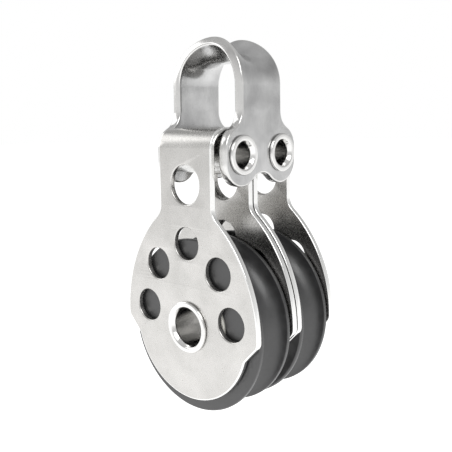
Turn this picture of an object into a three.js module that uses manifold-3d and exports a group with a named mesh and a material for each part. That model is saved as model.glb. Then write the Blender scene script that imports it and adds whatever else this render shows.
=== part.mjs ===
// Double sheave block with a fixed head eye: two folded sheet straps side by side, each carrying
// one sheave, hung from a saddle-shaped head strap by two tubular rivets.
// Millimetres, +Z up. X runs across the width of the block, Y along the sheave axle.
// Heights are measured from the axle. The exported group puts the origin at the point where a
// shackle bears on the inside of the head eye.

import * as THREE from "three";
import { mergeVertices } from "three/addons/utils/BufferGeometryUtils.js";
import Module from "manifold-3d";

// ---- Driving dimensions ----------------------------------------------------------------------

const SHEET = 1.0; // thickness of the straps
const FIT_GAP = 0.1; // gap left between a piece and the one it bears on

// straps: each is one strip folded into an inverted U, its two sides are the cheeks
const STRAP_WIDTH = 9.95; // outside to outside of one strap, along the axle
const STRAP_GAP = 0.3; // between the two straps, back to back
const STRAP_TOP = 31.95;
const STRAP_BEND = 3.1; // outer radius of the folds
const NECK_HALF = 5.75; // half the width of the neck and of the bridge
const NECK_FILLET = 2.5; // between the neck and the swelling side of the cheek
const SIDE_RADIUS = 23.07; // the cheek's side, from the neck to the shoulder
const SIDE_CENTRE = { x: -8.35, z: 0.25 };
const SHOULDER_RADIUS = 1.5;
const SHOULDER_CUT_DEG = 47; // slope of the cut below the shoulder
const NOTCH_FILLET = 0.8;
const BELLY_RADIUS = 12.5; // the round bottom of the cheek
const BELLY_CENTRE_Z = 0.3;

// holes through the cheeks: x, height and radius
const LIGHTENING_HOLES = [
  { x: 0, z: 13.75, r: 2.64 },
  { x: -6.75, z: 9.7, r: 2.62 },
  { x: 6.75, z: 9.7, r: 2.62 },
  { x: -9.33, z: 2.13, r: 2.69 },
  { x: 9.33, z: 2.13, r: 2.69 },
];
const NECK_HOLE = { x: 0, z: 23.17, r: 3.15 };

// head strap: an arch over the eye, dished at the crown, with a lobed plate at each foot
const HEAD_SHEET = 1.6; // its thickness
const ARCH_RADIUS = 7.65; // outside of the rims, and half the spread of the legs
const ARCH_CENTRE_Z = 38.75;
const ARCH_HALF = 4.85; // half the width of the strip
const CROWN_LIP_DEG = 36; // how far the rims turn out at the crown
const CROWN_DISH_DEG = 28; // how much steeper the sides of the dish are than that
const LEG_DISH = 0.08; // how much of the dish is left where the arch meets the legs
const DISH_END_Z = 34.6; // below this height the legs are flat
const LOBE_Y = 4.85;
const LOBE_RADIUS = 3.85;
const LOBE_TOP_Z = 28.45; // centre of a lobe's upper end
const LOBE_LOW_Z = 26.65; // centre of its lower end
const LEG_FILLET = 3.0; // where a leg widens into its lobes
const VALLEY_Z = 24.7; // top of the valley between two lobes

// tubular rivets, and the sleeves over them
const HEAD_RIVET = { bore: 1.87, shank: 2.45, flange: 3.12, proud: 0.5 };
const HEAD_RIVET_Y = 4.8;
const HEAD_RIVET_Z = 27.77;
const HEAD_SLEEVE_RADIUS = 3.1;
const AXLE = { bore: 3.03, shank: 3.6, flange: 4.25, proud: 0.45 };
const BORE_PLAY = 0.15; // between a shank and the hole or sleeve round it
const HUB_SLEEVE_RADIUS = 4.5;

// sheaves, with a liner pressed into each and a thrust washer on each side
const SHEAVE_RADIUS = 14.3;
const SHEAVE_WIDTH = 7.5;
const SHEAVE_BORE = 5.5;
const GROOVE_RADIUS = 2.95;
const GROOVE_CENTRE = 14.2; // distance of the groove's centre from the axle
const RIM_CHAMFER = 0.25;
const WASHER = { bore: 4.6, radius: 7.0, thickness: 0.5 };
const WASHER_SEAT_RADIUS = 7.25;

// fineness of the round faces
const SHEAVE_FACETS = 40;
const TUBE_FACETS = 24;
const HOLE_FACETS = 18;
const GROOVE_STEPS = 8;
const ARCH_STEPS = 16;
const ACROSS_STEPS = 8;
const OUTLINE_STEPS = 4; // half the number of straight edges that stand for one arc
const FOLD_STEPS = 5;

const radians = THREE.MathUtils.degToRad;
const innerWidth = STRAP_WIDTH - 2 * SHEET;
const strapCentreY = (STRAP_WIDTH + STRAP_GAP) / 2;

// ---- Materials -------------------------------------------------------------------------------

const FINISHES = {
  cheekSteel: { color: 0xd6d5d1, roughness: 0.32, metalness: 1 },
  headSteel: { color: 0xc9c9c7, roughness: 0.26, metalness: 1 },
  rivetSteel: { color: 0xe4e4e2, roughness: 0.14, metalness: 1 },
  sleeveSteel: { color: 0xb8b8b6, roughness: 0.3, metalness: 1 },
  sheaveAcetal: { color: 0x2e2e30, roughness: 0.42, metalness: 0 },
  linerAcetal: { color: 0x8d8a80, roughness: 0.5, metalness: 0 },
  washerNylon: { color: 0xd9d6cc, roughness: 0.5, metalness: 0 },
};

function piece(name, geometry, finish) {
  const mesh = new THREE.Mesh(geometry, new THREE.MeshStandardMaterial(FINISHES[finish]));
  mesh.name = name;
  return mesh;
}

// ---- Solids ----------------------------------------------------------------------------------

const wasm = await Module();
wasm.setup();

function toSolid(geometry) {
  const bare = geometry.clone();
  bare.deleteAttribute("normal");
  bare.deleteAttribute("uv");
  const merged = mergeVertices(bare, 1e-4);
  return new wasm.Manifold(
    new wasm.Mesh({
      numProp: 3,
      vertProperties: Float32Array.from(merged.attributes.position.array),
      triVerts: Uint32Array.from(merged.index.array),
    }),
  );
}

function toGeometry(solid) {
  const mesh = solid.getMesh();
  const geometry = new THREE.BufferGeometry();
  geometry.setAttribute("position", new THREE.BufferAttribute(mesh.vertProperties, 3));
  geometry.setIndex(new THREE.BufferAttribute(mesh.triVerts, 1));
  geometry.computeVertexNormals();
  return geometry;
}

// A flat outline in X and Z, made into a prism that runs along Y and is centred on Y = 0.
function prismAlongY(shape, depth, curveSegments) {
  const geometry = new THREE.ExtrudeGeometry(shape, { depth, curveSegments, bevelEnabled: false });
  return geometry.translate(0, 0, -depth / 2).rotateX(Math.PI / 2);
}

// A flat outline in Y and Z, made into a prism that runs along X and is centred on X = 0.
function prismAlongX(shape, depth, curveSegments) {
  const geometry = new THREE.ExtrudeGeometry(shape, { depth, curveSegments, bevelEnabled: false });
  const turn = new THREE.Matrix4().makeBasis(
    new THREE.Vector3(0, 1, 0),
    new THREE.Vector3(0, 0, 1),
    new THREE.Vector3(1, 0, 0),
  );
  return geometry.translate(0, 0, -depth / 2).applyMatrix4(turn);
}

// A ring about the Y axis: the profile is a closed loop of [radius, y] that climbs on its outside.
function ring(profile, facets) {
  const points = [...profile, profile[0]].map(([r, y]) => new THREE.Vector2(r, y));
  return new THREE.LatheGeometry(points, facets);
}

function sleeve(inner, outer, length, facets) {
  const h = length / 2;
  return ring([[outer, -h], [outer, h], [inner, h], [inner, -h]], facets);
}

// A tubular rivet about the Y axis, with a rolled flange past each end of its grip.
function tubularRivet({ bore, shank, flange, proud }, grip) {
  const seat = grip / 2 + FIT_GAP / 2;
  const end = seat + proud;
  const edge = proud * 0.4;
  const upperEnd = [
    [shank, seat],
    [flange, seat],
    [flange, end - edge],
    [flange - edge, end],
    [bore + edge, end],
    [bore, end - edge],
  ];
  const lowerEnd = upperEnd.map(([r, y]) => [r, -y]).reverse();
  return ring([...lowerEnd, ...upperEnd], TUBE_FACETS);
}

// ---- Straps ----------------------------------------------------------------------------------

// Half of a cheek's outline, from the top of the neck down to the bottom, on the side of +X.
function drawHalfCheek(shape) {
  const reach = SIDE_RADIUS + NECK_FILLET;
  const filletX = NECK_HALF + NECK_FILLET;
  const filletZ = SIDE_CENTRE.z + Math.sqrt(reach ** 2 - (filletX - SIDE_CENTRE.x) ** 2);
  const lean = Math.atan2(filletZ - SIDE_CENTRE.z, filletX - SIDE_CENTRE.x);
  shape.lineTo(NECK_HALF, filletZ);
  shape.absarc(filletX, filletZ, NECK_FILLET, Math.PI, Math.PI + lean, false);

  const shoulderX = SIDE_CENTRE.x + SIDE_RADIUS - SHOULDER_RADIUS;
  const cut = radians(SHOULDER_CUT_DEG);
  shape.absarc(SIDE_CENTRE.x, SIDE_CENTRE.z, SIDE_RADIUS, lean, 0, true);
  shape.absarc(shoulderX, SIDE_CENTRE.z, SHOULDER_RADIUS, 0, cut - Math.PI / 2, true);

  // the notch fillet touches the sloping cut and the round bottom
  const along = { x: -Math.cos(cut), z: -Math.sin(cut) };
  const out = { x: Math.sin(cut), z: -Math.cos(cut) };
  const startX = shoulderX + (SHOULDER_RADIUS + NOTCH_FILLET) * out.x;
  const startZ = SIDE_CENTRE.z - BELLY_CENTRE_Z + (SHOULDER_RADIUS + NOTCH_FILLET) * out.z;
  const half = startX * along.x + startZ * along.z;
  const rest = startX ** 2 + startZ ** 2 - (BELLY_RADIUS + NOTCH_FILLET) ** 2;
  const run = -half - Math.sqrt(half ** 2 - rest);
  const notch = { x: startX + run * along.x, z: startZ + run * along.z };
  const turn = Math.atan2(notch.z, notch.x);
  const notchZ = notch.z + BELLY_CENTRE_Z;
  shape.absarc(notch.x, notchZ, NOTCH_FILLET, cut + Math.PI / 2, turn + Math.PI, false);
  shape.absarc(0, BELLY_CENTRE_Z, BELLY_RADIUS, turn, -Math.PI / 2, true);
}

function cheekOutline() {
  const top = STRAP_TOP + SHEET;
  const half = new THREE.Path();
  half.moveTo(NECK_HALF, top);
  drawHalfCheek(half);
  const right = half.getPoints(OUTLINE_STEPS);
  const left = right.slice(0, -1).map((p) => new THREE.Vector2(-p.x, p.y)).reverse();
  return new THREE.Shape([...right, ...left]);
}

// The folded section of a strap, seen along X.
function strapSection() {
  const outer = STRAP_WIDTH / 2;
  const inner = innerWidth / 2;
  const foot = -BELLY_RADIUS - SHEET;
  const bend = STRAP_TOP - STRAP_BEND;
  const corner = outer - STRAP_BEND;
  const shape = new THREE.Shape();
  shape.moveTo(-outer, foot);
  shape.lineTo(-inner, foot);
  shape.absarc(-corner, bend, STRAP_BEND - SHEET, Math.PI, Math.PI / 2, true);
  shape.absarc(corner, bend, STRAP_BEND - SHEET, Math.PI / 2, 0, true);
  shape.lineTo(inner, foot);
  shape.lineTo(outer, foot);
  shape.absarc(corner, bend, STRAP_BEND, 0, Math.PI / 2, false);
  shape.absarc(-corner, bend, STRAP_BEND, Math.PI / 2, Math.PI, false);
  return shape;
}

function holeAlongY(x, z, radius, facets) {
  const cutter = new THREE.CylinderGeometry(radius, radius, 2 * STRAP_WIDTH, facets);
  return toSolid(cutter.translate(x, 0, z));
}

function strap() {
  const span = 4 * BELLY_RADIUS;
  let solid = toSolid(prismAlongX(strapSection(), span, FOLD_STEPS));
  solid = solid.intersect(toSolid(prismAlongY(cheekOutline(), 2 * STRAP_WIDTH, 1)));
  for (const hole of [...LIGHTENING_HOLES, NECK_HOLE]) {
    solid = solid.subtract(holeAlongY(hole.x, hole.z, hole.r, HOLE_FACETS));
  }
  return toGeometry(solid.subtract(holeAlongY(0, 0, AXLE.shank + BORE_PLAY, TUBE_FACETS)));
}

// ---- Head strap ------------------------------------------------------------------------------

// Stations along the strap, from the foot at -X over the crown to the foot at +X: a point on the
// outer face of the rims, the direction that points out of the eye, the half width of the strip
// and how far it is dished.
function headStations() {
  const foot = LOBE_LOW_Z - LOBE_RADIUS - SHEET;
  const widest = LOBE_Y + LOBE_RADIUS + SHEET;
  const leg = [foot, 31.0, 32.0, 32.9, 33.8, DISH_END_Z, 36.0, 37.4].map((z) => {
    const half = ARCH_HALF + 1.5 * Math.max(0, DISH_END_Z - z);
    const dish = LEG_DISH * THREE.MathUtils.smoothstep(z, DISH_END_Z, ARCH_CENTRE_Z);
    return { z, half: Math.min(half, widest), dish };
  });
  const stations = leg.map((s) => ({ ...s, x: -ARCH_RADIUS, out: [-1, 0] }));
  for (let i = 0; i <= ARCH_STEPS; i += 1) {
    const angle = Math.PI * (1 - i / ARCH_STEPS);
    const out = [Math.cos(angle), Math.sin(angle)];
    const dish = LEG_DISH + (1 - LEG_DISH) * out[1] ** 2;
    const x = ARCH_RADIUS * out[0];
    stations.push({ x, z: ARCH_CENTRE_Z + ARCH_RADIUS * out[1], out, half: ARCH_HALF, dish });
  }
  for (const s of leg.reverse()) stations.push({ ...s, x: ARCH_RADIUS, out: [1, 0] });
  return stations;
}

// Half of the middle line of a dished section, from its lowest point to a rim: y, height and slope.
// The strip keeps its width, so the rims draw together as it is dished.
function dishLine(half, dish) {
  const slope = (t) => dish * (radians(CROWN_LIP_DEG) * t + radians(CROWN_DISH_DEG) * Math.sin(Math.PI * t));
  const line = [{ y: 0, rise: 0, slope: 0 }];
  const steps = ACROSS_STEPS / 2;
  for (let i = 1; i <= steps; i += 1) {
    const before = line[i - 1];
    const middle = slope((i - 0.5) / steps);
    const y = before.y + (half / steps) * Math.cos(middle);
    line.push({ y, rise: before.rise + (half / steps) * Math.sin(middle), slope: slope(i / steps) });
  }
  return line;
}

// One closed section of the strap: the outer face first, then the inner face on the way back.
function headSection({ x, z, out, half, dish }) {
  const line = dishLine(half, dish);
  const rim = line[line.length - 1];
  const top = rim.rise + (HEAD_SHEET / 2) * Math.cos(rim.slope);
  const left = line.slice(1).reverse().map((p) => ({ ...p, side: -1 }));
  const across = [...left, ...line.map((p) => ({ ...p, side: 1 }))];
  const face = (offset) => across.map(({ y, rise, slope, side }) => {
    const height = rise + offset * Math.cos(slope) - top;
    return [x + out[0] * height, side * (y - offset * Math.sin(slope)), z + out[1] * height];
  });
  return [...face(HEAD_SHEET / 2), ...face(-HEAD_SHEET / 2).reverse()].flat();
}

// Skins a run of closed sections and closes both ends.
function skin(sections) {
  const count = sections[0].length / 3;
  const index = [];
  for (let s = 0; s + 1 < sections.length; s += 1) {
    for (let i = 0; i < count; i += 1) {
      const a = s * count + i;
      const b = s * count + ((i + 1) % count);
      index.push(a, a + count, b, b, a + count, b + count);
    }
  }
  const last = (sections.length - 1) * count;
  for (let i = 0; i + 1 < count / 2; i += 1) {
    const a = i;
    const b = i + 1;
    const c = count - 2 - i;
    const d = count - 1 - i;
    index.push(a, b, d, b, c, d);
    index.push(last + a, last + d, last + b, last + b, last + d, last + c);
  }
  const geometry = new THREE.BufferGeometry();
  geometry.setAttribute("position", new THREE.Float32BufferAttribute(sections.flat(), 3));
  geometry.setIndex(index);
  return geometry;
}

// The outline that the legs are stamped to, in Y and Z: two lobes with a valley between them,
// open above the height where the legs take the width of the arch.
function legOutline() {
  const half = LOBE_Y + LOBE_RADIUS + 2 * SHEET;
  const top = ARCH_CENTRE_Z + 2 * ARCH_RADIUS;
  const reach = LOBE_RADIUS + LEG_FILLET;
  const filletY = ARCH_HALF + LEG_FILLET;
  const filletZ = LOBE_TOP_Z + Math.sqrt(reach ** 2 - (filletY - LOBE_Y) ** 2);
  const lean = Math.atan2(filletZ - LOBE_TOP_Z, filletY - LOBE_Y);

  const drop = LOBE_LOW_Z - VALLEY_Z;
  const valleyRadius = (LOBE_Y ** 2 + drop ** 2 - LOBE_RADIUS ** 2) / (2 * (LOBE_RADIUS - drop));
  const valleyZ = VALLEY_Z - valleyRadius;
  const dip = Math.atan2(valleyZ - LOBE_LOW_Z, -LOBE_Y);

  const path = new THREE.Path();
  path.moveTo(half, top);
  path.lineTo(half, filletZ);
  path.lineTo(ARCH_HALF, filletZ);
  path.absarc(filletY, filletZ, LEG_FILLET, Math.PI, Math.PI + lean, false);
  path.absarc(LOBE_Y, LOBE_TOP_Z, LOBE_RADIUS, lean, 0, true);
  path.absarc(LOBE_Y, LOBE_LOW_Z, LOBE_RADIUS, 0, dip, true);
  path.absarc(0, valleyZ, valleyRadius, dip + Math.PI, Math.PI / 2, false);
  const right = path.getPoints(OUTLINE_STEPS);
  const left = right.slice(0, -1).map((p) => new THREE.Vector2(-p.x, p.y)).reverse();
  return new THREE.Shape([...right, ...left]);
}

function headStrap() {
  const formed = toSolid(skin(headStations().map(headSection)));
  let solid = formed.intersect(toSolid(prismAlongX(legOutline(), 4 * ARCH_RADIUS, 1)));
  for (const side of [-1, 1]) {
    const radius = HEAD_RIVET.shank + BORE_PLAY;
    const cutter = new THREE.CylinderGeometry(radius, radius, 4 * ARCH_RADIUS, TUBE_FACETS);
    cutter.rotateZ(Math.PI / 2).translate(0, side * HEAD_RIVET_Y, HEAD_RIVET_Z);
    solid = solid.subtract(toSolid(cutter));
  }
  return toGeometry(solid);
}

// ---- Sheaves ---------------------------------------------------------------------------------

const washerSeat = innerWidth / 2 - WASHER.thickness - 2 * FIT_GAP;

function sheave() {
  const side = SHEAVE_WIDTH / 2;
  const rim = SHEAVE_RADIUS - RIM_CHAMFER;
  const groove = [];
  for (let i = 0; i <= GROOVE_STEPS; i += 1) {
    const angle = Math.PI * (i / GROOVE_STEPS - 0.5);
    groove.push([GROOVE_CENTRE - GROOVE_RADIUS * Math.cos(angle), GROOVE_RADIUS * Math.sin(angle)]);
  }
  const profile = [
    [SHEAVE_BORE, -washerSeat],
    [WASHER_SEAT_RADIUS, -washerSeat],
    [WASHER_SEAT_RADIUS, -side],
    [rim, -side],
    [SHEAVE_RADIUS, -side + RIM_CHAMFER],
    ...groove,
    [SHEAVE_RADIUS, side - RIM_CHAMFER],
    [rim, side],
    [WASHER_SEAT_RADIUS, side],
    [WASHER_SEAT_RADIUS, washerSeat],
    [SHEAVE_BORE, washerSeat],
  ];
  return ring(profile, SHEAVE_FACETS);
}

function sheaveLiner() {
  const running = HUB_SLEEVE_RADIUS + FIT_GAP;
  return sleeve(running, SHEAVE_BORE - FIT_GAP, 2 * washerSeat, SHEAVE_FACETS);
}

// ---- Assembly --------------------------------------------------------------------------------

function strapSet(label, side) {
  const set = new THREE.Group();
  set.position.y = side * strapCentreY;
  set.add(piece(`strap_${label}`, strap(), "cheekSteel"));
  set.add(piece(`sheave_${label}`, sheave(), "sheaveAcetal"));
  set.add(piece(`sheave_liner_${label}`, sheaveLiner(), "linerAcetal"));
  const hub = sleeve(AXLE.shank + BORE_PLAY, HUB_SLEEVE_RADIUS, innerWidth - 2 * FIT_GAP, TUBE_FACETS);
  set.add(piece(`hub_sleeve_${label}`, hub, "sleeveSteel"));
  for (const [place, way] of [["outer", side], ["inner", -side]]) {
    const washer = sleeve(WASHER.bore, WASHER.radius, WASHER.thickness, TUBE_FACETS);
    const mesh = piece(`thrust_washer_${label}_${place}`, washer, "washerNylon");
    mesh.position.y = way * (innerWidth / 2 - FIT_GAP - WASHER.thickness / 2);
    set.add(mesh);
  }
  return set;
}

function headRivetSet(label, side) {
  const set = new THREE.Group();
  set.position.set(0, side * HEAD_RIVET_Y, HEAD_RIVET_Z);
  set.rotation.z = Math.PI / 2;
  const spacing = 2 * (ARCH_RADIUS - HEAD_SHEET - FIT_GAP);
  const tube = sleeve(HEAD_RIVET.shank + BORE_PLAY, HEAD_SLEEVE_RADIUS, spacing, TUBE_FACETS);
  set.add(piece(`head_rivet_${label}`, tubularRivet(HEAD_RIVET, 2 * ARCH_RADIUS), "rivetSteel"));
  set.add(piece(`head_sleeve_${label}`, tube, "sleeveSteel"));
  return set;
}

const crown = dishLine(ARCH_HALF, 1)[ACROSS_STEPS / 2];
const crownRise = crown.rise + (HEAD_SHEET / 2) * Math.cos(crown.slope);
const EYE_Z = ARCH_CENTRE_Z + ARCH_RADIUS - crownRise - HEAD_SHEET / 2;

const block = new THREE.Group();
block.position.z = -EYE_Z;
block.add(piece("head_strap", headStrap(), "headSteel"));
const grip = 2 * STRAP_WIDTH + STRAP_GAP;
block.add(piece("axle_rivet", tubularRivet(AXLE, grip), "rivetSteel"));
for (const [label, side] of [["left", -1], ["right", 1]]) {
  block.add(strapSet(label, side));
  block.add(headRivetSet(label, side));
}

export default block;
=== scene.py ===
import functools
import math

import bmesh
import bpy
from mathutils import Matrix, Vector

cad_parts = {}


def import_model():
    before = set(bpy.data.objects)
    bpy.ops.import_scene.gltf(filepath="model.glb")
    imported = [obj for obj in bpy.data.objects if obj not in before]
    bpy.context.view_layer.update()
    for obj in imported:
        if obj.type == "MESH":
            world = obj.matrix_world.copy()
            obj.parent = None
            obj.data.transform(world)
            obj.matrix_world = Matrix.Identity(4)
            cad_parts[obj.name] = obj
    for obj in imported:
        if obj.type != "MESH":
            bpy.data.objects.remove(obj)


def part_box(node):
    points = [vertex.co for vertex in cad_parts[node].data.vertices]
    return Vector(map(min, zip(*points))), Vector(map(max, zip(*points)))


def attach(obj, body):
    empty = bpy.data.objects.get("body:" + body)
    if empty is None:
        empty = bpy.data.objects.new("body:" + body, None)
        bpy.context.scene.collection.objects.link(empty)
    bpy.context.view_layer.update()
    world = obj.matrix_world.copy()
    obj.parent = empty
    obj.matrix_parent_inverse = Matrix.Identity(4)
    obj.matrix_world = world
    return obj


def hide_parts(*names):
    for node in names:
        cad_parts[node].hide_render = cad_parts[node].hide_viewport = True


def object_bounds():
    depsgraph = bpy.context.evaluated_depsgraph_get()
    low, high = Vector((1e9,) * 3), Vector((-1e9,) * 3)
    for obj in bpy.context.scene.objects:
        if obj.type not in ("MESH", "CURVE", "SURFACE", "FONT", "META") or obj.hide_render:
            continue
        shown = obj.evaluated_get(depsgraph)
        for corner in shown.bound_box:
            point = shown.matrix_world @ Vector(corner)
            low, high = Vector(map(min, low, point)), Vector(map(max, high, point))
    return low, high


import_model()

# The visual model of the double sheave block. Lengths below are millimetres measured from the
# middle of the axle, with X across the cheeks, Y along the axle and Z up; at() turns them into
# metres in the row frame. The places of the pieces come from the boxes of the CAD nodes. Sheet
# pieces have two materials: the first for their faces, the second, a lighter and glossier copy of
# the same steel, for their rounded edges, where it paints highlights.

cad_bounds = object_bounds()

MM = 0.001
axle_low, axle_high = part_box("axle_rivet")
AXLE = (axle_low + axle_high) / 2


def at(x, y, z):
    return Vector((x, y, z)) * MM + AXLE


def box_mm(node):
    low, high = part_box(node)
    return (low - AXLE) / MM, (high - AXLE) / MM


def size_mm(node):
    low, high = box_mm(node)
    return high - low


# ---- Sizes -------------------------------------------------------------------------------------

SHEET = 1.0
CHEEK_EDGE = 0.24      # rounding of the edges of the straps
HEAD_SHEET = 1.6
HEAD_EDGE = 0.3        # rounding of the edges of the head strap

strap_low, strap_high = box_mm("strap_left")
STRAP_WIDTH = strap_high.y - strap_low.y
STRAP_TOP = strap_high.z
STRAP_BEND = 3.1
NECK_HALF = 5.75
NECK_FILLET = 2.5
SIDE_RADIUS = 23.07
SIDE_CENTRE = (-8.35, 0.25)
SHOULDER_RADIUS = 1.5
SHOULDER_CUT = math.radians(47)
NOTCH_FILLET = 0.8
BELLY_RADIUS = 12.5
BELLY_CENTRE_Z = 0.3
# Holes in a cheek: X, Z and radius.
LIGHTENING_HOLES = [
    (0, 13.75, 2.64),
    (-6.75, 9.7, 2.62),
    (6.75, 9.7, 2.62),
    (-9.33, 2.13, 2.69),
    (9.33, 2.13, 2.69),
]
NECK_HOLE = (0, 23.17, 3.15)
AXLE_HOLE = (0, 0, 3.75)
FOLD_STEP = 0.25       # between the bend lines across a fold

ARCH_RADIUS = 7.65
ARCH_CENTRE_Z = 38.75
ARCH_HALF = 4.85
CROWN_LIP = math.radians(36)     # slope of the dish at its rims
CROWN_DISH = math.radians(28)    # added to the slope half way to a rim
LEG_DISH = 0.08                  # share of the dish that is left where the legs begin
DISH_END_Z = 34.6
DISH_STEPS = 20
FORM_END_Z = 32.0                # the legs are flat and need no bend lines below this
FORM_STEP = 0.36
LOBE_Y = 4.85
LOBE_RADIUS = 3.85
LOBE_TOP_Z = 28.45
LOBE_LOW_Z = 26.65
LEG_FILLET = 3.0
VALLEY_Z = 24.7
HEAD_RIVET_Y = 4.8
HEAD_RIVET_Z = 27.77
HEAD_RIVET_GAP = 0.15            # between a head rivet's shank and its hole

HEAD_RIVET = dict(bore=1.87, shank=2.45, flange=3.12, proud=0.5)
AXLE_RIVET = dict(bore=3.03, shank=3.6, flange=4.25, proud=0.45)
FLANGE_GAP = 0.05                # between a rivet's flange and the sheet under it
ROLL_SHARE = 0.62                # of a flange's width and height, the part that is rolled
SHEAVE_RADIUS = 14.3
SHEAVE_BORE = 5.5
GROOVE_RADIUS = 2.95
GROOVE_CENTRE = 14.2
WASHER_SEAT_RADIUS = 7.25
WASHER_SEAT_DEPTH = 0.5

# The bore and the outer radius of each plain ring.
LINER_RADII = (4.6, SHEAVE_BORE - 0.1)
HUB_SLEEVE_RADII = (3.75, 4.5)
WASHER_RADII = (4.6, 7.0)
HEAD_SLEEVE_RADII = (2.6, 3.1)


# ---- Outlines ----------------------------------------------------------------------------------

ARC_STEP = math.radians(3.2)      # the widest turn between two points of an arc


def arc(cx, cy, radius, start, end, step=ARC_STEP):
    """Points along an arc from one angle to another, both ends included."""
    count = max(2, math.ceil(abs(end - start) / step))
    turns = [start + (end - start) * i / count for i in range(count + 1)]
    return [(cx + radius * math.cos(a), cy + radius * math.sin(a)) for a in turns]


def circle(cx, cy, radius, count=72):
    turns = [2 * math.pi * i / count for i in range(count)]
    return [(cx + radius * math.cos(a), cy + radius * math.sin(a)) for a in turns]


def joined(*runs):
    """Runs of points end to end, with each shared end kept once."""
    points = []
    for run in runs:
        for p in run:
            if not points or math.dist(p, points[-1]) > 1e-4:
                points.append(p)
    return points


def half_cheek():
    """The cheek's outline on the side of +X, from the neck at the fold down to the bottom."""
    reach = SIDE_RADIUS + NECK_FILLET
    fillet_x = NECK_HALF + NECK_FILLET
    side_x, side_z = SIDE_CENTRE
    fillet_z = side_z + math.sqrt(reach ** 2 - (fillet_x - side_x) ** 2)
    lean = math.atan2(fillet_z - side_z, fillet_x - side_x)
    shoulder_x = side_x + SIDE_RADIUS - SHOULDER_RADIUS

    along = (-math.cos(SHOULDER_CUT), -math.sin(SHOULDER_CUT))
    out = (math.sin(SHOULDER_CUT), -math.cos(SHOULDER_CUT))
    start_x = shoulder_x + (SHOULDER_RADIUS + NOTCH_FILLET) * out[0]
    start_z = side_z - BELLY_CENTRE_Z + (SHOULDER_RADIUS + NOTCH_FILLET) * out[1]
    half = start_x * along[0] + start_z * along[1]
    rest = start_x ** 2 + start_z ** 2 - (BELLY_RADIUS + NOTCH_FILLET) ** 2
    run = -half - math.sqrt(half ** 2 - rest)
    notch_x, notch_z = start_x + run * along[0], start_z + run * along[1]
    turn = math.atan2(notch_z, notch_x)

    fine = ARC_STEP * 4
    return joined(
        [(NECK_HALF, STRAP_TOP - STRAP_BEND)],
        arc(fillet_x, fillet_z, NECK_FILLET, math.pi, math.pi + lean, fine),
        arc(side_x, side_z, SIDE_RADIUS, lean, 0, ARC_STEP / 2),
        arc(shoulder_x, side_z, SHOULDER_RADIUS, 0, SHOULDER_CUT - math.pi / 2, fine),
        arc(notch_x, notch_z + BELLY_CENTRE_Z, NOTCH_FILLET,
            SHOULDER_CUT + math.pi / 2, turn + math.pi, fine),
        arc(0, BELLY_CENTRE_Z, BELLY_RADIUS, turn, -math.pi / 2),
    )


def half_leg():
    """The leg's outline on the side of +Y, from the arch down to the valley between the lobes."""
    reach = LOBE_RADIUS + LEG_FILLET
    fillet_y = ARCH_HALF + LEG_FILLET
    fillet_z = LOBE_TOP_Z + math.sqrt(reach ** 2 - (fillet_y - LOBE_Y) ** 2)
    lean = math.atan2(fillet_z - LOBE_TOP_Z, fillet_y - LOBE_Y)
    drop = LOBE_LOW_Z - VALLEY_Z
    valley_radius = (LOBE_Y ** 2 + drop ** 2 - LOBE_RADIUS ** 2) / (2 * (LOBE_RADIUS - drop))
    valley_z = VALLEY_Z - valley_radius
    dip = math.atan2(valley_z - LOBE_LOW_Z, -LOBE_Y)
    return joined(
        [(ARCH_HALF, ARCH_CENTRE_Z)],
        arc(fillet_y, fillet_z, LEG_FILLET, math.pi, math.pi + lean, ARC_STEP * 2),
        arc(LOBE_Y, LOBE_TOP_Z, LOBE_RADIUS, lean, 0, ARC_STEP * 2),
        arc(LOBE_Y, LOBE_LOW_Z, LOBE_RADIUS, 0, dip, ARC_STEP * 2),
        arc(0, valley_z, valley_radius, dip + math.pi, math.pi / 2, ARC_STEP * 2),
    )


def mirrored(quarter):
    """A whole outline from one quarter of it, which runs from the X axis to the Y axis."""
    right = joined([(x, -y) for x, y in reversed(quarter)], quarter)
    left = [(-x, y) for x, y in reversed(right)]
    return right + left[1:-1]


# ---- Sheet metal -------------------------------------------------------------------------------

def blank(outline, holes, edge, sheet=SHEET):
    """A flat sheet with rounded edges: X and Y lie in its plane and Z goes through it.
    Its rounded edges take the second material, a painted highlight, but the edges of its holes keep
    the material of its faces."""
    curve = bpy.data.curves.new("blank", "CURVE")
    curve.dimensions = "2D"
    curve.fill_mode = "BOTH"
    curve.extrude = sheet / 2 - edge
    curve.bevel_depth = edge
    curve.bevel_resolution = 3
    curve.offset = -edge
    for points in [outline, *holes]:
        spline = curve.splines.new("POLY")
        spline.points.add(len(points) - 1)
        for p, (x, y) in zip(spline.points, points):
            p.co = (x, y, 0, 1)
        spline.use_cyclic_u = True
    obj = bpy.data.objects.new("blank", curve)
    bpy.context.collection.objects.link(obj)
    bpy.context.view_layer.update()
    evaluated = obj.evaluated_get(bpy.context.evaluated_depsgraph_get())
    mesh = bpy.data.meshes.new_from_object(evaluated)
    bm = bmesh.new()
    bm.from_mesh(mesh)
    bmesh.ops.remove_doubles(bm, verts=bm.verts, dist=1e-4)
    bmesh.ops.recalc_face_normals(bm, faces=bm.faces)
    bpy.data.objects.remove(obj)
    bpy.data.curves.remove(curve)
    bpy.data.meshes.remove(mesh)
    rings = []
    for points in holes:
        middle = Vector((sum(x for x, _ in points), sum(y for _, y in points))) / len(points)
        rings.append((middle, (Vector(points[0]) - middle).length + 1.2 * edge))
    for f in bm.faces:
        place = f.calc_center_median().to_2d()
        at_hole = any((place - middle).length < reach for middle, reach in rings)
        # Material 1, the painted highlight, goes on the rounded edges away from the holes.
        f.material_index = 0 if abs(f.normal.z) > 0.999 or at_hole else 1
        f.smooth = True
    return bm


def cut_across(bm, axis, places):
    """Adds an edge loop where each plane crosses the sheet, so that it can be bent there."""
    normal = Vector((axis == 0, axis == 1, 0))
    for place in places:
        geom = bm.verts[:] + bm.edges[:] + bm.faces[:]
        bmesh.ops.bisect_plane(
            bm, geom=geom, plane_co=normal * place, plane_no=normal, dist=1e-5)


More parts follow.
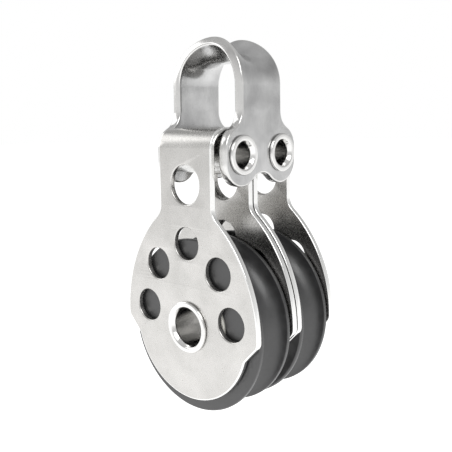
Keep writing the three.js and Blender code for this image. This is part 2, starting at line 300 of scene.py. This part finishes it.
def spaced(low, high, step):
    count = max(1, math.ceil((high - low) / step))
    return [low + (high - low) * i / count for i in range(count + 1)]


def finish_piece(name, bm, body, materials, replaced, sharp=None):
    """Turns a bmesh in metres into a piece that rides on a body and stands for CAD nodes."""
    mesh = bpy.data.meshes.new(name)
    bm.to_mesh(mesh)
    bm.free()
    for m in materials:
        mesh.materials.append(m)
    if sharp:
        mesh.set_sharp_from_angle(angle=sharp)
    obj = bpy.data.objects.new(name, mesh)
    bpy.context.collection.objects.link(obj)
    weigh = obj.modifiers.new("even_normals", "WEIGHTED_NORMAL")
    weigh.keep_sharp = True
    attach(obj, body)
    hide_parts(*replaced)


# ---- Straps ------------------------------------------------------------------------------------

FLAT_HALF = STRAP_WIDTH / 2 - STRAP_BEND              # half the flat of the bridge
FOLD_RADIUS = STRAP_BEND - SHEET / 2                  # of the middle of the sheet
FOLD_LENGTH = FOLD_RADIUS * math.pi / 2
CHEEK_START = FLAT_HALF + FOLD_LENGTH                 # where the cheeks begin along the strip


def fold_strap(x, s, n):
    """From the flat strip, s along it from the middle of the bridge, n outwards, to the strap."""
    way = 1 if s >= 0 else -1
    run = abs(s)
    cheek_top = STRAP_TOP - STRAP_BEND
    if run <= FLAT_HALF:
        return x, way * run, STRAP_TOP - SHEET / 2 + n
    if run >= CHEEK_START:
        return x, way * (STRAP_WIDTH / 2 - SHEET / 2 + n), cheek_top - (run - CHEEK_START)
    turn = (run - FLAT_HALF) / FOLD_RADIUS
    radius = FOLD_RADIUS + n
    return x, way * (FLAT_HALF + radius * math.sin(turn)), cheek_top + radius * math.cos(turn)


def strip_place(z):
    """How far along the strip a height on a cheek lies."""
    return CHEEK_START + STRAP_TOP - STRAP_BEND - z


def strap(side, centre_y, materials):
    quarter = [(NECK_HALF, 0.0)] + [(x, strip_place(z)) for x, z in half_cheek()]
    outline = mirrored(quarter)
    holes = []
    for x, z, r in [*LIGHTENING_HOLES, NECK_HOLE, AXLE_HOLE]:
        for way in (-1, 1):
            holes.append(circle(x, way * strip_place(z), r))
    bm = blank(outline, holes, CHEEK_EDGE)
    folds = spaced(FLAT_HALF, CHEEK_START, FOLD_STEP)
    cut_across(bm, 1, folds + [-s for s in folds])
    for v in bm.verts:
        v.co = at(*fold_strap(*v.co)) + Vector((0, centre_y * MM, 0))
    bmesh.ops.recalc_face_normals(bm, faces=bm.faces)
    finish_piece(f"{side}_strap_sheet", bm, "frame", materials,
                 [f"strap_{side}"])


# ---- Head strap --------------------------------------------------------------------------------

ARCH_LENGTH = ARCH_RADIUS * math.pi / 2


def smoothstep(x, low, high):
    t = min(1, max(0, (x - low) / (high - low)))
    return t * t * (3 - 2 * t)


@functools.cache
def dish_line(dish):
    """Half of a dished section, from its lowest point to a rim: a run of (y, height, slope)."""
    def slope(t):
        return dish * (CROWN_LIP * t + CROWN_DISH * math.sin(math.pi * t))
    y = rise = 0
    line = [(0, 0, 0)]
    step = ARCH_HALF / DISH_STEPS
    for i in range(DISH_STEPS):
        middle = slope((i + 0.5) / DISH_STEPS)
        y, rise = y + step * math.cos(middle), rise + step * math.sin(middle)
        line.append((y, rise, slope((i + 1) / DISH_STEPS)))
    return line


def form_head(t, s, n):
    """From the flat strip, t across it, s along it from the crown, n outwards, to the formed head.
    The crown is dished like a saddle, and the dish fades out down the legs."""
    way = 1 if s >= 0 else -1
    run = abs(s)
    if run < ARCH_LENGTH:
        turn = run / ARCH_RADIUS
        out = (way * math.sin(turn), math.cos(turn))
        foot = (ARCH_RADIUS * out[0], ARCH_CENTRE_Z + ARCH_RADIUS * out[1])
        dish = LEG_DISH + (1 - LEG_DISH) * out[1] ** 2
    else:
        z = ARCH_CENTRE_Z - (run - ARCH_LENGTH)
        out = (way, 0)
        foot = (way * ARCH_RADIUS, z)
        dish = LEG_DISH * smoothstep(z, DISH_END_Z, ARCH_CENTRE_Z)
        if z <= DISH_END_Z:
            return foot[0] + out[0] * (n - HEAD_SHEET / 2), t, z
    line = dish_line(round(dish, 6))
    place = min(abs(t) / ARCH_HALF, 1) * DISH_STEPS
    low = min(int(place), DISH_STEPS - 1)
    y, rise, slope = (a + (b - a) * (place - low) for a, b in zip(line[low], line[low + 1]))
    top = line[-1][1] + HEAD_SHEET / 2 * math.cos(line[-1][2])
    height = rise + n * math.cos(slope) - top
    y = math.copysign(y - n * math.sin(slope), t)
    return foot[0] + out[0] * height, y, foot[1] + out[1] * height


def head_strap(materials):
    quarter = [(ARCH_HALF, 0.0)]
    quarter += [(y, ARCH_LENGTH + ARCH_CENTRE_Z - z) for y, z in half_leg()]
    outline = mirrored(quarter)
    rivet_s = ARCH_LENGTH + ARCH_CENTRE_Z - HEAD_RIVET_Z
    hole = HEAD_RIVET["shank"] + HEAD_RIVET_GAP
    holes = [circle(a * HEAD_RIVET_Y, b * rivet_s, hole) for a in (-1, 1) for b in (-1, 1)]
    bm = blank(outline, holes, HEAD_EDGE, HEAD_SHEET)
    formed = ARCH_LENGTH + ARCH_CENTRE_Z - FORM_END_Z
    cut_across(bm, 1, spaced(-formed, formed, FORM_STEP))
    cut_across(bm, 0, spaced(-ARCH_HALF + HEAD_EDGE, ARCH_HALF - HEAD_EDGE, FORM_STEP))
    for v in bm.verts:
        v.co = at(*form_head(*v.co))
    bmesh.ops.recalc_face_normals(bm, faces=bm.faces)
    finish_piece("head_strap_sheet", bm, "frame", materials, ["head_strap"])


# ---- Turned pieces -----------------------------------------------------------------------------

def lathe(profile, centre, axis, segments):
    """A ring about an axis. The profile is a closed loop of (radius, place along the axis)."""
    bm = bmesh.new()
    rows = []
    for i in range(segments):
        a = 2 * math.pi * i / segments
        if axis == "y":
            row = [at(r * math.cos(a), h, r * math.sin(a)) for r, h in profile]
        else:
            row = [at(h, r * math.cos(a), r * math.sin(a)) for r, h in profile]
        shift = Vector(centre) * MM
        rows.append([bm.verts.new(p + shift) for p in row])
    count = len(profile)
    for i in range(segments):
        here, there = rows[i], rows[(i + 1) % segments]
        for j in range(count):
            k = (j + 1) % count
            bm.faces.new((here[j], there[j], there[k], here[k])).smooth = True
    bmesh.ops.recalc_face_normals(bm, faces=bm.faces)
    return bm


def rounded(profile, radius, steps=4):
    """A closed profile with rounded corners. A corner's third value is a radius of its own."""
    points = []
    count = len(profile)
    for i, corner in enumerate(profile):
        here = Vector(corner[:2])
        before = Vector(profile[i - 1][:2]) - here
        after = Vector(profile[(i + 1) % count][:2]) - here
        size = corner[2] if len(corner) > 2 else radius
        angle = before.angle(after)
        if size < 1e-4 or abs(angle - math.pi) < 0.05:
            points.append(tuple(here))
            continue
        reach = min(size / math.tan(angle / 2), before.length * 0.49, after.length * 0.49)
        size = reach * math.tan(angle / 2)
        inward = (before.normalized() + after.normalized()).normalized()
        centre = here + inward * (size / math.sin(angle / 2))
        start = here + before.normalized() * reach - centre
        end = here + after.normalized() * reach - centre
        sweep = start.angle_signed(end)
        for k in range(steps + 1):
            turned = Matrix.Rotation(-sweep * k / steps, 2) @ start
            points.append(tuple(centre + turned))
    return points


def rivet_profile(bore, shank, flange, proud, grip):
    """A tubular rivet: its mouth is rolled outwards into a round flange."""
    seat = grip / 2 + FLANGE_GAP
    end = seat + proud
    roll = (flange - bore) * ROLL_SHARE
    top = [
        (shank, seat, 0.05),
        (flange, seat, 0.12),
        (flange, end, proud * ROLL_SHARE),
        (bore + roll * 0.55, end, 0.35),
        (bore, end - proud * 1.5, 0.6),
    ]
    return rounded([(r, -h, s) for r, h, s in reversed(top)] + top, 0.1, 6)


def tube_profile(inner, outer, length, edge=0.12):
    h = length / 2
    return rounded([(outer, -h), (outer, h), (inner, h), (inner, -h)], edge)


def sheave_profile(width):
    side = width / 2
    seat = side - WASHER_SEAT_DEPTH
    groove = arc(GROOVE_CENTRE, 0, GROOVE_RADIUS,
                 -math.pi / 2, -3 * math.pi / 2, math.radians(6))
    lower = [
        (SHEAVE_BORE, -seat, 0.1),
        (WASHER_SEAT_RADIUS, -seat, 0.1),
        (WASHER_SEAT_RADIUS, -side, 0.1),
        (SHEAVE_RADIUS, -side, 0.3),
        (SHEAVE_RADIUS, -GROOVE_RADIUS, 0.12),
    ]
    upper = [(r, -h, s) for r, h, s in reversed(lower)]
    return rounded(lower + [(r, h, 0) for r, h in groove[1:-1]] + upper, 0.1, 5)


SHARP_ANGLE = math.radians(40)


def turned(name, node, profile, axis, body, slot, material, segments=96):
    low, high = box_mm(node)
    centre = (low + high) / 2
    bm = lathe(profile, centre, axis, segments)
    finish_piece(name, bm, body, [material], [node], sharp=SHARP_ANGLE)


# ---- Materials ---------------------------------------------------------------------------------

class Nodes:
    """A small helper that adds and links shader nodes."""

    def __init__(self, name):
        self.material = bpy.data.materials.new(name)
        self.material.use_nodes = True
        self.tree = self.material.node_tree
        self.shader = self.tree.nodes["Principled BSDF"]

    def add(self, kind, **values):
        node = self.tree.nodes.new(kind)
        for key, value in values.items():
            if key in node.inputs:
                node.inputs[key].default_value = value
            else:
                setattr(node, key, value)
        return node

    def link(self, a, b):
        self.tree.links.new(a, b)

    def mapped(self, scale, place=(0, 0, 0)):
        """Object coordinates in millimetres, stretched by scale."""
        where = self.add("ShaderNodeTexCoord")
        move = self.add("ShaderNodeMapping")
        move.inputs["Scale"].default_value = [s / MM for s in scale]
        move.inputs["Location"].default_value = place
        self.link(where.outputs["Object"], move.inputs["Vector"])
        return move.outputs["Vector"]

    def noise(self, scale, detail=4.0, rough=0.55, place=(0, 0, 0)):
        node = self.add("ShaderNodeTexNoise", Scale=1.0, Detail=detail, Roughness=rough)
        self.link(self.mapped(scale, place), node.inputs["Vector"])
        return node.outputs["Fac"]

    def ranged(self, value, low, high, new_low, new_high):
        node = self.add("ShaderNodeMapRange")
        limits = {"From Min": low, "From Max": high, "To Min": new_low, "To Max": new_high}
        for key, number in limits.items():
            node.inputs[key].default_value = number
        self.link(value, node.inputs["Value"])
        return node.outputs["Result"]

    def tint(self, value, dark, light):
        node = self.add("ShaderNodeValToRGB")
        node.color_ramp.elements[0].position = 0.3
        node.color_ramp.elements[1].position = 0.7
        node.color_ramp.elements[0].color = (*dark, 1)
        node.color_ramp.elements[1].color = (*light, 1)
        self.link(value, node.inputs["Fac"])
        return node.outputs["Color"]

    def bump(self, value, height_mm, under=None):
        node = self.add("ShaderNodeBump", Strength=1.0)
        node.inputs["Distance"].default_value = height_mm * MM
        self.link(value, node.inputs["Height"])
        if under:
            self.link(under, node.inputs["Normal"])
        return node.outputs["Normal"]


def steel(name, dark, light, rough_low, rough_high, streak, wave_mm, streak_mm):
    """Stainless steel: a slow mottling, a fine grain that streak draws out, and a waviness."""
    n = Nodes(name)
    n.shader.inputs["Metallic"].default_value = 1.0
    mottle = n.noise((0.22, 0.22, 0.22), detail=3)
    fine = n.noise(streak, detail=3, rough=0.65, place=(3, 5, 7))
    n.link(n.tint(mottle, dark, light), n.shader.inputs["Base Color"])
    n.link(n.ranged(fine, 0.3, 0.7, rough_low, rough_high), n.shader.inputs["Roughness"])
    wave = n.bump(n.noise((0.16, 0.16, 0.16), detail=1), wave_mm)
    n.link(n.bump(fine, streak_mm, wave), n.shader.inputs["Normal"])
    return n.material


def acetal(name, dark, light, rough_low, rough_high):
    """Turned acetal: fine rings round the axle and a faint mottling."""
    n = Nodes(name)
    n.shader.inputs["Specular IOR Level"].default_value = 0.85
    mottle = n.noise((0.5, 0.5, 0.5), detail=5, rough=0.65)
    where = n.add("ShaderNodeTexCoord")
    flat = n.add("ShaderNodeVectorMath", operation="SUBTRACT")
    flat.inputs[1].default_value = AXLE
    n.link(where.outputs["Object"], flat.inputs[0])
    only = n.add("ShaderNodeVectorMath", operation="MULTIPLY")
    only.inputs[1].default_value = (1, 0, 1)
    n.link(flat.outputs["Vector"], only.inputs[0])
    radius = n.add("ShaderNodeVectorMath", operation="LENGTH")
    n.link(only.outputs["Vector"], radius.inputs[0])
    split = n.add("ShaderNodeSeparateXYZ")
    n.link(flat.outputs["Vector"], split.inputs["Vector"])
    ring = n.add("ShaderNodeCombineXYZ")
    n.link(radius.outputs["Value"], ring.inputs["X"])
    n.link(split.outputs["Y"], ring.inputs["Y"])
    rings = n.add("ShaderNodeTexNoise", Scale=9.0 / MM, Detail=2.0)
    n.link(ring.outputs["Vector"], rings.inputs["Vector"])
    n.link(n.tint(mottle, dark, light), n.shader.inputs["Base Color"])
    n.link(n.ranged(mottle, 0.3, 0.7, rough_low, rough_high), n.shader.inputs["Roughness"])
    soft = n.bump(mottle, 0.006)
    n.link(n.bump(rings.outputs["Fac"], 0.008, soft), n.shader.inputs["Normal"])
    return n.material


cheek_steel = steel(
    "cheek_steel", (0.49, 0.483, 0.468), (0.58, 0.57, 0.555), 0.2, 0.32,
    streak=(3, 3, 3), wave_mm=0.03, streak_mm=0.0008)
head_steel = steel(
    "head_steel", (0.4, 0.4, 0.4), (0.58, 0.58, 0.578), 0.14, 0.28,
    streak=(4, 4, 0.3), wave_mm=0.06, streak_mm=0.003)
# A lighter, glossier copy of the strap steel for the straps' rounded edges: a painted highlight.
strap_edge_painted_highlight = steel(
    "strap_edge_painted_highlight", (0.78, 0.78, 0.77), (0.86, 0.86, 0.85), 0.12, 0.2,
    streak=(4, 4, 4), wave_mm=0.01, streak_mm=0.0005)
# A lighter, glossier copy of the head steel for the head strap's rounded edges: a painted
# highlight.
head_edge_painted_highlight = steel(
    "head_edge_painted_highlight", (0.6, 0.595, 0.585), (0.7, 0.695, 0.685), 0.14, 0.24,
    streak=(4, 4, 4), wave_mm=0.02, streak_mm=0.0005)
rivet_steel = steel(
    "rivet_steel", (0.68, 0.675, 0.665), (0.76, 0.755, 0.745), 0.12, 0.2,
    streak=(4, 4, 4), wave_mm=0.01, streak_mm=0.0005)
sleeve_steel = steel(
    "sleeve_steel", (0.6, 0.6, 0.59), (0.68, 0.68, 0.67), 0.22, 0.34,
    streak=(0.6, 5, 5), wave_mm=0.01, streak_mm=0.001)
sheave_black = acetal("sheave_black", (0.018, 0.018, 0.0185), (0.032, 0.032, 0.033), 0.3, 0.42)
liner_grey = acetal("liner_grey", (0.22, 0.21, 0.18), (0.3, 0.29, 0.26), 0.4, 0.55)
washer_white = acetal("washer_white", (0.6, 0.59, 0.54), (0.7, 0.69, 0.64), 0.4, 0.55)


# ---- Assembly ----------------------------------------------------------------------------------

head_strap([head_steel, head_edge_painted_highlight])
axle_grip = STRAP_WIDTH + abs(strap_low.y + strap_high.y)
turned("axle_rivet_tube", "axle_rivet", rivet_profile(**AXLE_RIVET, grip=axle_grip), "y",
       "frame", "rivet_steel", rivet_steel, 128)
for side in ("left", "right"):
    low, high = box_mm(f"strap_{side}")
    strap(side, (low.y + high.y) / 2, [cheek_steel, strap_edge_painted_highlight])

    node = f"sheave_{side}"
    turned(f"{side}_sheave_wheel", node, sheave_profile(size_mm(node).y), "y",
           f"{side}_sheave", "sheave_acetal", sheave_black, 192)
    node = f"sheave_liner_{side}"
    turned(f"{side}_liner_bush", node, tube_profile(*LINER_RADII, size_mm(node).y), "y",
           f"{side}_sheave", "liner_acetal", liner_grey)

    node = f"hub_sleeve_{side}"
    turned(f"{side}_hub_tube", node, tube_profile(*HUB_SLEEVE_RADII, size_mm(node).y), "y",
           "frame", "sleeve_steel", sleeve_steel)
    for place in ("outer", "inner"):
        node = f"thrust_washer_{side}_{place}"
        turned(f"{side}_{place}_thrust_ring", node,
               tube_profile(*WASHER_RADII, size_mm(node).y), "y",
               "frame", "washer_nylon", washer_white)

    turned(f"{side}_head_rivet_tube", f"head_rivet_{side}",
           rivet_profile(**HEAD_RIVET, grip=2 * ARCH_RADIUS), "x",
           "frame", "rivet_steel", rivet_steel)
    node = f"head_sleeve_{side}"
    turned(f"{side}_head_spacer_tube", node,
           tube_profile(*HEAD_SLEEVE_RADII, size_mm(node).x), "x",
           "frame", "sleeve_steel", sleeve_steel)


# ---- Studio ------------------------------------------------------------------------------------

AZIMUTH = math.radians(42.287)
ELEVATION = math.radians(9.091)
ROLL = math.radians(-0.811)
DISTANCE = 114.563
LENS = 52.4496                # on a sensor 36 mm wide
AIM = (-0.565, 15.402)        # how far the view's centre lies right of and above the axle
AXLE_DROP = 0.25              # the axle's height over the point that the view was fitted from
FLOOR_DROP = 0.06             # metres from the lowest point of the block to the floor
FLOOR_HALF = 3.0


def camera():
    level = math.cos(ELEVATION)
    back = Vector((math.sin(AZIMUTH) * level, -math.cos(AZIMUTH) * level, math.sin(ELEVATION)))
    right = Vector((math.cos(AZIMUTH), math.sin(AZIMUTH), 0))
    up = back.cross(right)
    right, up = (right * math.cos(ROLL) + up * math.sin(ROLL),
                 up * math.cos(ROLL) - right * math.sin(ROLL))
    data = bpy.data.cameras.new("camera")
    data.sensor_width = 36
    data.lens = LENS
    data.clip_start, data.clip_end = 0.001, 10
    obj = bpy.data.objects.new("camera", data)
    place = at(0, 0, -AXLE_DROP) + (right * AIM[0] + up * AIM[1] + back * DISTANCE) * MM
    obj.matrix_world = Matrix.Translation(place) @ Matrix((right, up, back)).transposed().to_4x4()
    bpy.context.collection.objects.link(obj)
    bpy.context.scene.camera = obj


def softbox(name, place, aim, size, power):
    data = bpy.data.lights.new(name, "AREA")
    data.shape = "RECTANGLE"
    data.size, data.size_y = size
    data.energy = power
    obj = bpy.data.objects.new(name, data)
    obj.location = place
    way = Vector(aim) - Vector(place)
    obj.rotation_mode = "QUATERNION"
    obj.rotation_quaternion = way.to_track_quat("-Z", "Y")
    bpy.context.collection.objects.link(obj)


def floor():
    mesh = bpy.data.meshes.new("floor")
    z = cad_bounds[0].z - FLOOR_DROP
    corners = [(x * FLOOR_HALF, y * FLOOR_HALF, z) for x, y in ((-1, -1), (1, -1), (1, 1), (-1, 1))]
    mesh.from_pydata(corners, [], [(0, 1, 2, 3)])
    obj = bpy.data.objects.new("floor", mesh)
    bpy.context.collection.objects.link(obj)
    material = bpy.data.materials.new("floor_white")
    material.use_nodes = True
    shader = material.node_tree.nodes["Principled BSDF"]
    shader.inputs["Base Color"].default_value = (0.95, 0.95, 0.95, 1)
    shader.inputs["Roughness"].default_value = 0.9
    shader.inputs["Emission Color"].default_value = (1, 1, 1, 1)
    shader.inputs["Emission Strength"].default_value = 0.55
    mesh.materials.append(material)


def world():
    """Even white behind the block, and for its reflections a tent that darkens upwards
    and is lighter again at its top."""
    scene_world = bpy.data.worlds.new("studio")
    bpy.context.scene.world = scene_world
    scene_world.use_nodes = True
    nodes, links = scene_world.node_tree.nodes, scene_world.node_tree.links
    background = nodes["Background"]
    where = nodes.new("ShaderNodeTexCoord")
    split = nodes.new("ShaderNodeSeparateXYZ")
    links.new(where.outputs["Generated"], split.inputs["Vector"])
    ramp = nodes.new("ShaderNodeValToRGB")
    stops = [(0.0, 0.9), (0.5, 0.95), (0.62, 0.75), (0.8, 0.5), (1.0, 0.7)]
    while len(ramp.color_ramp.elements) < len(stops):
        ramp.color_ramp.elements.new(0.5)
    for element, (place, grey) in zip(ramp.color_ramp.elements, stops):
        element.position = place
        element.color = (grey, grey, grey, 1)
    height = nodes.new("ShaderNodeMapRange")
    height.inputs["From Min"].default_value = -1
    links.new(split.outputs["Z"], height.inputs["Value"])
    links.new(height.outputs["Result"], ramp.inputs["Fac"])
    path = nodes.new("ShaderNodeLightPath")
    mix = nodes.new("ShaderNodeMix")
    mix.data_type = "RGBA"
    colours = [i for i in mix.inputs if i.type == "RGBA"]
    links.new(path.outputs["Is Camera Ray"], mix.inputs["Factor"])
    links.new(ramp.outputs["Color"], colours[0])
    colours[1].default_value = (1, 1, 1, 1)
    links.new([o for o in mix.outputs if o.type == "RGBA"][0], background.inputs["Color"])
    background.inputs["Strength"].default_value = 1.0


camera()
floor()
world()
middle = at(0, 0, 15)
softbox("key", (0.3, -0.3, 0.35), middle, (0.35, 0.35), 1.2)
softbox("fill", (-0.45, -0.15, 0.2), middle, (0.35, 0.35), 0.6)
bpy.context.scene.view_settings.view_transform = "Standard"
